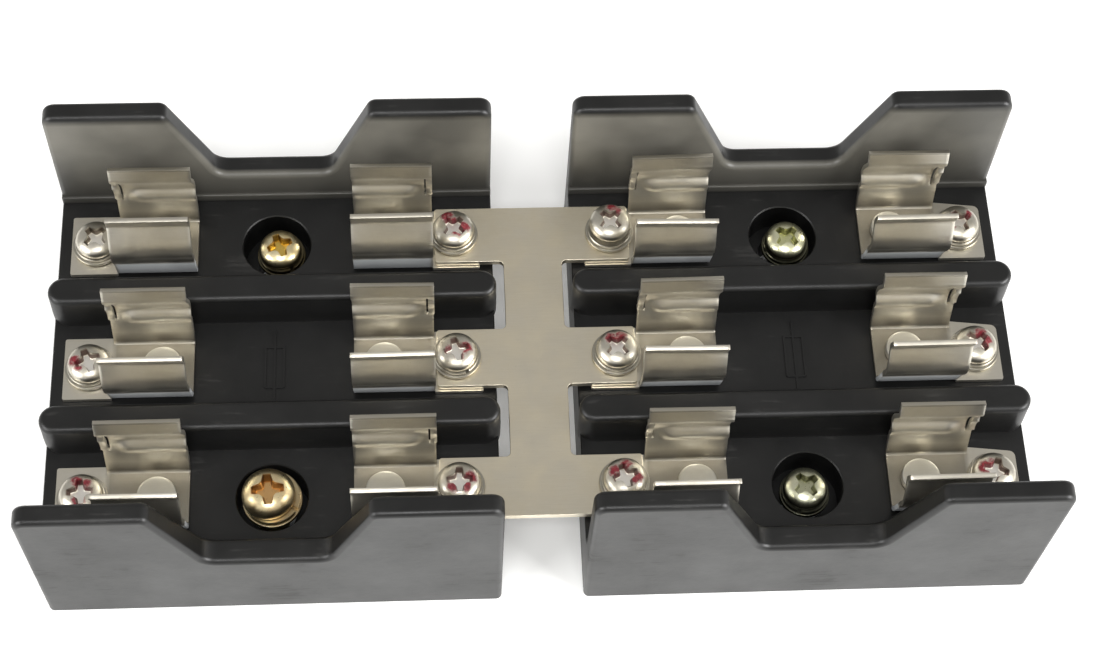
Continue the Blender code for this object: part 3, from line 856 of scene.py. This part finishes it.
def recess_cutter(size, top):
    """The cross recess: four wings that taper downwards."""
    bm = bmesh.new()
    reach, half, fillet, sink = (size * a for a in (2.2, 0.74, 0.3, 1.6))
    outline = []
    for quarter in range(4):
        turn = Matrix.Rotation(math.radians(90 * quarter), 2)
        for x, y in ((reach, -half * 0.7), (reach, half * 0.7), (half + fillet, half),
                     (half, half + fillet)):
            outline.append(tuple(turn @ Vector((x, y))))
    levels = ((0.66, top - sink), (1.04, top + 0.12), (1.04, top + 1.5))
    bottom, rim, high = ([bm.verts.new((x * scale, y * scale, z)) for x, y in outline]
                         for scale, z in levels)
    bm.faces.new(bottom)
    bm.faces.new(list(reversed(high)))
    bridge(bm, bottom, rim)
    bridge(bm, rim, high)
    return mesh_from(bm, "recess")


def screw_mesh(diameter, head_diameter, head_height, length, recess):
    """A pan head screw, origin under its head, with a helical thread.

    The head is part of a superellipse. recess is the size of its cross recess.
    """
    sides = 48
    edge = head_diameter / 2
    rim = 0.25
    bulge = 2 / 2.35
    steps = 14
    bm = bmesh.new()
    profile = [(0.0, head_height)]
    for step in range(1, steps + 1):
        angle = math.radians(90 * step / steps)
        profile.append((edge * math.sin(angle) ** bulge,
                        rim + (head_height - rim) * max(math.cos(angle), 0.0) ** bulge))
    profile += [(edge - 0.02, 0.12), (edge - 0.16, 0.0), (diameter / 2 + 0.15, 0.0)]
    rings = [ring_at(bm, radius, height, sides) for radius, height in profile]
    major, minor = diameter / 2, diameter / 2 - 0.6 * PITCH
    row_step = PITCH / 6
    rows = int(length / row_step)
    for row in range(rows + 1):
        depth = row * length / rows
        taper = min(1.0, (length - depth) / 0.7)
        start = min(1.0, depth / 0.8)
        ring = []
        for i in range(sides):
            turn = (depth / PITCH + i / sides) % 1.0
            groove = (1 - abs(2 * turn - 1)) * start
            radius = (major - (major - minor) * groove) - 0.45 * (1 - taper)
            ring.append(bm.verts.new((radius * math.cos(math.tau * i / sides),
                                      radius * math.sin(math.tau * i / sides), -depth - 0.001)))
        rings.append(ring)
    rings.append(ring_at(bm, 0, -length - 0.001, sides))
    for upper, lower in zip(rings, rings[1:]):
        bridge(bm, upper, lower)
    mesh = mesh_from(bm, "screw")
    mesh = boolean(mesh, recess_cutter(recess, head_height), "DIFFERENCE")
    shade(mesh, 38)
    return mesh


def flat_washer_mesh(hole, diameter, thick):
    """A pressed ring, its upper edge rounded by the die."""
    inner, outer, ease = hole / 2, diameter / 2, min(0.14, thick / 3)
    profile = [(inner, thick), (outer - ease * 1.6, thick),
               (outer - ease * 0.5, thick - ease * 0.4), (outer, thick - ease * 1.4),
               (outer, ease), (outer - ease, 0), (inner, 0)]
    bm = bmesh.new()
    revolve(bm, profile, 64)
    mesh = mesh_from(bm, "flat_washer")
    shade(mesh)
    return mesh


def spring_washer_mesh(hole, diameter, thick, rise, split_at):
    """A split ring of square wire, one end standing higher than the other."""
    inner, outer, ease = hole / 2, diameter / 2, 0.1
    section = [(inner, ease), (inner + ease, 0), (outer - ease, 0), (outer, ease),
               (outer, thick - ease), (outer - ease, thick), (inner + ease, thick),
               (inner, thick - ease)]
    gap = math.radians(11)
    steps = 60
    bm = bmesh.new()
    rings = []
    for step in range(steps + 1):
        share = step / steps
        angle = math.radians(split_at) + gap / 2 + share * (math.tau - gap)
        rings.append([bm.verts.new((radius * math.cos(angle), radius * math.sin(angle),
                                    height + rise * share)) for radius, height in section])
    for first, second in zip(rings, rings[1:]):
        bridge(bm, first, second)
    bm.faces.new(rings[0])
    bm.faces.new(list(reversed(rings[-1])))
    mesh = mesh_from(bm, "spring_washer")
    shade(mesh)
    return mesh


# --------------------------------------------------------------------------
# Assembly
# --------------------------------------------------------------------------
def piece(name, mesh, place, body, material, slot, *nodes):
    """Stand a mesh in the frame, on its body, in place of CAD nodes."""
    mesh.name = name
    mesh.materials.clear()
    mesh.materials.append(material)
    thing = add_object(name, mesh, place)
    flats = thing.modifiers.new("flats", "WEIGHTED_NORMAL")
    flats.keep_sharp = True
    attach(thing, body)
    if nodes:
        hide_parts(*nodes)
    return thing


# Each terminal screw: the recess's turn in degrees, its stain, and the red
# inspection paint on it as (x, y, radius)
TERMINAL_LOOKS = {
    "left_back_outer": (45, 0.15, ()),
    "left_back_inner": (48, 0.2, ((-1.0, 2.0, 1.3), (1.7, -0.3, 1.1), (0.4, -1.2, 1.0),
                                  (0.4, 0.6, 1.2))),
    "right_back_inner": (45, 0.25, ((0.3, 2.3, 1.1), (1.3, 1.7, 0.6))),
    "right_back_outer": (28, 0.6, ((-1.5, -0.9, 1.0), (1.6, 1.2, 0.7))),
    "left_middle_outer": (22, 0.3, ((-2.2, 0.0, 1.2), (-1.4, -1.3, 0.9))),
    "left_middle_inner": (14, 0.3, ((1.4, 0.2, 1.2), (0.3, -1.2, 0.9), (-1.2, -0.1, 0.8))),
    "right_middle_inner": (45, 0.25, ((-1.0, 1.3, 1.2), (0.5, 1.7, 1.1))),
    "right_middle_outer": (42, 0.3, ((0.6, 1.6, 1.1), (1.4, 0.2, 1.1), (1.2, -0.8, 0.7))),
    "left_front_outer": (4, 0.3, ((-0.5, 1.8, 1.1), (0.9, 1.3, 0.9), (-0.2, -1.5, 1.2))),
    "left_front_inner": (1, 0.3, ((-1.1, -1.2, 1.2), (1.6, 0.3, 1.2), (0.9, -1.2, 1.1))),
    "right_front_inner": (18, 0.3, ((-1.6, 0.8, 1.2), (0.2, 1.9, 1.1), (1.6, -0.4, 1.2))),
    "right_front_outer": (-18, 0.3, ((-1.7, 0.5, 1.3), (-0.5, 1.2, 0.9))),
}
# Each mounting screw: the recess's turn, its light and deep tints, and where
# its spring washer is split
MOUNTING_LOOKS = {
    "left_back": (22, (0.86, 0.76, 0.50), (0.72, 0.50, 0.12), 300),
    "left_front": (4, (0.86, 0.74, 0.46), (0.66, 0.40, 0.17), 330),
    "right_back": (45, (0.82, 0.81, 0.58), (0.62, 0.62, 0.36), 200),
    "right_front": (36, (0.70, 0.70, 0.52), (0.46, 0.46, 0.32), 250),
}
# The two sizes of mounting screw, the larger with a head over 8 mm wide. Each
# also gives the strength of the painted shade on the head's foot, the scale of the
# washers' tints, which paints shade on them, and slip, how far the washers have
# slid off the screw's axis.
LARGE_HEAD = 8.0
MOUNTING_SIZES = {
    "M4": {"diameter": 4.0, "head_height": 2.3, "foot_shade": 0.9, "shaded_washer_tint": 0.15, "slip": 0.1},
    "M5": {"diameter": 5.0, "head_height": 3.0, "foot_shade": 0.35, "shaded_washer_tint": 0.6, "slip": 0.5},
}
# How far the back and front arm tips of one pole's clips have been bent in
BENT = {"left_back": (0.8, 2.0)}


def build_bases(phenolic):
    """Both moulded bases."""
    mesh = base_mesh()
    for block_name, side in BLOCKS.items():
        node = "base_" + block_name
        piece("moulded_" + node, mesh.copy(), (side * BLOCK_CENTRE, 0, 0), "root", phenolic,
              "black_phenolic", node)


def build_terminals(block_name, side, pole, row, strip, rivet_look):
    """Both clips of one pole, with their rivets and nuts."""
    for role in ROLES:
        place = f"{block_name}_{pole}_{role}"
        direction = side if role == "outer" else -side
        x, y = side * BLOCK_CENTRE, row * POLE_PITCH
        twist = 0.25 * noise.noise(Vector((x * 0.37, y * 0.53, direction * 3.1)))
        closed = BENT.get(f"{block_name}_{pole}", (0.0, 0.0))
        trimmed = place.startswith("right") and role == "outer"
        mesh = clip_mesh(direction, closed, twist, trimmed)
        piece("spring_" + place, mesh, (x, y, TAB_TOP), "root", strip, "nickel_plate",
              "clip_" + place)
        spot = x + direction * SCREW_PLACE
        piece("square_nut_" + place, nut_mesh(), (spot, y, TAB_TOP), "root", rivet_look,
              "nickel_plate")
        low, high = node_box("clip_rivet_" + place)
        rivet = rivet_mesh(low.z, high.z)
        piece("rivet_" + place, rivet, (x + direction * RIVET_PLACE, y, 0), "root", rivet_look,
              "nickel_rivet", "clip_rivet_" + place)


def build_terminal_screw(place, shared):
    """One terminal screw and its two washers."""
    turn, stain, blobs = TERMINAL_LOOKS[place]
    look = screw_material("plated_steel_" + place, blobs, stain)
    node = "terminal_screw_" + place
    x, y = node_axis(node)
    low, high = node_box(node)
    mesh = shared["screw"].copy()
    mesh.transform(Matrix.Rotation(math.radians(turn), 4, "Z"))
    piece("pan_screw_" + place, mesh, (x, y, high.z - HEAD_HEIGHT), "terminal_turn_" + place,
          look, "plated_steel", node)
    node = "terminal_washers_" + place
    low, high = node_box(node)
    body = "terminal_lift_" + place
    piece("flat_washer_" + place, shared["flat"].copy(), (x, y, low.z), body, shared["steel"],
          "plated_steel", node)
    spring = shared["spring"].copy()
    spring.transform(Matrix.Rotation(math.radians(turn * 7 + 200), 4, "Z"))
    piece("spring_washer_" + place, spring, (x, y, low.z + FLAT_WASHER_THICK), body,
          shared["steel"], "plated_steel", node)


def build_mounting_screw(place):
    """One loose mounting screw and its two washers."""
    turn, light, deep, split_at = MOUNTING_LOOKS[place]
    node = "mounting_screw_" + place
    low, high = node_box(node)
    x, y = node_axis(node)
    head = high.x - low.x
    kind = MOUNTING_SIZES["M5" if head > LARGE_HEAD else "M4"]
    head_height = kind["head_height"]
    size = head / HEAD_DIAMETER
    look = zinc_material("yellow_zinc_" + place, light, deep, head_height, size, kind["foot_shade"])
    # The washers are a darker copy of the screw's zinc: painted shade, much darker for the smaller
    # screws in their wells
    shaded_ring_look = zinc_material("shaded_zinc_" + place, [kind["shaded_washer_tint"] * a for a in light],
                              [kind["shaded_washer_tint"] * a for a in deep], head_height, size)
    length = high.z - head_height - low.z
    mesh = screw_mesh(kind["diameter"], head, head_height, length, size)
    mesh.transform(Matrix.Rotation(math.radians(turn), 4, "Z"))
    piece("pan_screw_" + place, mesh, (x, y, high.z - head_height), "mounting_turn_" + place,
          look, "yellow_zinc", node)
    node = "mounting_washers_" + place
    low, high = node_box(node)
    body = "mounting_lift_" + place
    wide = high.x - low.x
    slip = kind["slip"]
    hole = kind["diameter"] + 0.3 + 2.0 * slip
    x, y = x + slip, y - 0.3 * slip
    ring = flat_washer_mesh(hole, wide, MOUNTING_FLAT_THICK)
    piece("flat_washer_" + place, ring, (x, y, low.z), body, shaded_ring_look, "yellow_zinc", node)
    ring = spring_washer_mesh(hole, wide - 0.4, MOUNTING_SPRING_THICK, 0.2, split_at)
    piece("spring_washer_" + place, ring, (x, y, low.z + MOUNTING_FLAT_THICK), body, shaded_ring_look,
          "yellow_zinc", node)


def build_object():
    """Every visible piece of the object."""
    phenolic = phenolic_material()
    strip = strip_material("nickel_strip", (0.76, 0.725, 0.64), (0.68, 0.635, 0.53), 0.0, True)
    plate = strip_material("nickel_link", (0.78, 0.72, 0.59), (0.73, 0.66, 0.51), 5.0)
    rivet_look = strip_material("nickel_pressed", (0.64, 0.62, 0.56), (0.58, 0.56, 0.49), 9.0)
    build_bases(phenolic)
    piece("common_link", link_mesh(), (0, 0, 0), "root", plate, "nickel_plate", "link_plate")
    for block_name, side in BLOCKS.items():
        for pole, row in POLES.items():
            build_terminals(block_name, side, pole, row, strip, rivet_look)
    hole = SCREW_DIAMETER + 0.4
    shared = {
        "screw": screw_mesh(SCREW_DIAMETER, HEAD_DIAMETER, HEAD_HEIGHT, SCREW_LENGTH, 1.0),
        "flat": flat_washer_mesh(hole, FLAT_WASHER_DIAMETER, FLAT_WASHER_THICK),
        "spring": spring_washer_mesh(hole, SPRING_WASHER_DIAMETER, SPRING_WASHER_THICK, 0.1, 0),
        # The washers take a darker copy of the plating: painted shade under the heads
        "steel": screw_material("shaded_plated_steel_washers", (), 0.3, 0.75),
    }
    for place in TERMINAL_LOOKS:
        build_terminal_screw(place, shared)
    for place in MOUNTING_LOOKS:
        build_mounting_screw(place)


# --------------------------------------------------------------------------
# Stage: table, light and camera
# --------------------------------------------------------------------------
def build_table():
    """A pale table, just under the bases."""
    bm = bmesh.new()
    bmesh.ops.create_grid(bm, x_segments=2, y_segments=2, size=1500)
    table = add_object("table", mesh_from(bm, "table"), (0, 0, -0.02))
    g = Graph("pale_table")
    clouds = g.noise(g.coordinates(), 0.01, 3, 0.5)
    g.surface(Base_Color=g.mix(clouds, (0.86, 0.86, 0.85, 1), (0.9, 0.9, 0.89, 1)), Roughness=0.6)
    # A faint glow keeps the table white. It stops under the bases, so that the
    # holes through them look down on shade.
    axes = g.axes()
    across = g.maths("SUBTRACT", g.maths("ABSOLUTE", axes["X"]), BLOCK_CENTRE)
    across = g.between(g.maths("ABSOLUTE", across), BASE_HALF_LENGTH - 1.5, BASE_HALF_LENGTH - 0.5)
    along = g.between(g.maths("ABSOLUTE", axes["Y"]), BASE_HALF_DEPTH - 1.5, BASE_HALF_DEPTH - 0.5)
    lift = g.times(g.maths("MAXIMUM", across, along), 0.2)
    g.surface(Emission_Color=(1.0, 1.0, 0.98, 1), Emission_Strength=lift)
    table.data.materials.append(g.material)


def area_light(name, size, power, place, aim):
    """A softbox, its size and place in metres and its power in watts."""
    data = bpy.data.lights.new(name, "AREA")
    data.shape = "RECTANGLE"
    data.size, data.size_y = size
    data.energy = power
    light = bpy.data.objects.new(name, data)
    light.location = place
    light.rotation_mode = "QUATERNION"
    light.rotation_quaternion = (Vector(aim) - Vector(place)).to_track_quat("-Z", "Y")
    bpy.context.scene.collection.objects.link(light)


def build_stage():
    """Table, room light and three softboxes."""
    build_table()
    scene = bpy.context.scene
    scene.view_settings.view_transform = "Standard"
    world = bpy.data.worlds.new("soft_room")
    world.use_nodes = True
    background = world.node_tree.nodes["Background"]
    background.inputs["Color"].default_value = (1.0, 0.985, 0.96, 1)
    background.inputs["Strength"].default_value = 0.47
    scene.world = world
    area_light("key_softbox", (0.3, 0.24), 2.9, (-0.03, -0.37, 0.78), (0, 0, 0))
    area_light("right_softbox", (0.6, 0.5), 16.0, (0.84, -0.4, 0.54), (0.02, 0, 0))
    area_light("left_softbox", (0.6, 0.5), 9.0, (-0.86, -0.38, 0.54), (-0.02, 0, 0))


def build_camera():
    """A short telephoto from above the front, a little to the left."""
    data = bpy.data.cameras.new("camera")
    data.sensor_width = 36.0
    data.lens = 72.31
    data.clip_start = 0.01
    data.clip_end = 10.0
    camera = bpy.data.objects.new("camera", data)
    camera.location = Vector((-15.61, -157.97, 332.65)) * MM
    camera.rotation_euler = [math.radians(a) for a in (27.332, -1.943, -2.329)]
    bpy.context.scene.collection.objects.link(camera)
    bpy.context.scene.camera = camera


build_object()
build_stage()
build_camera()
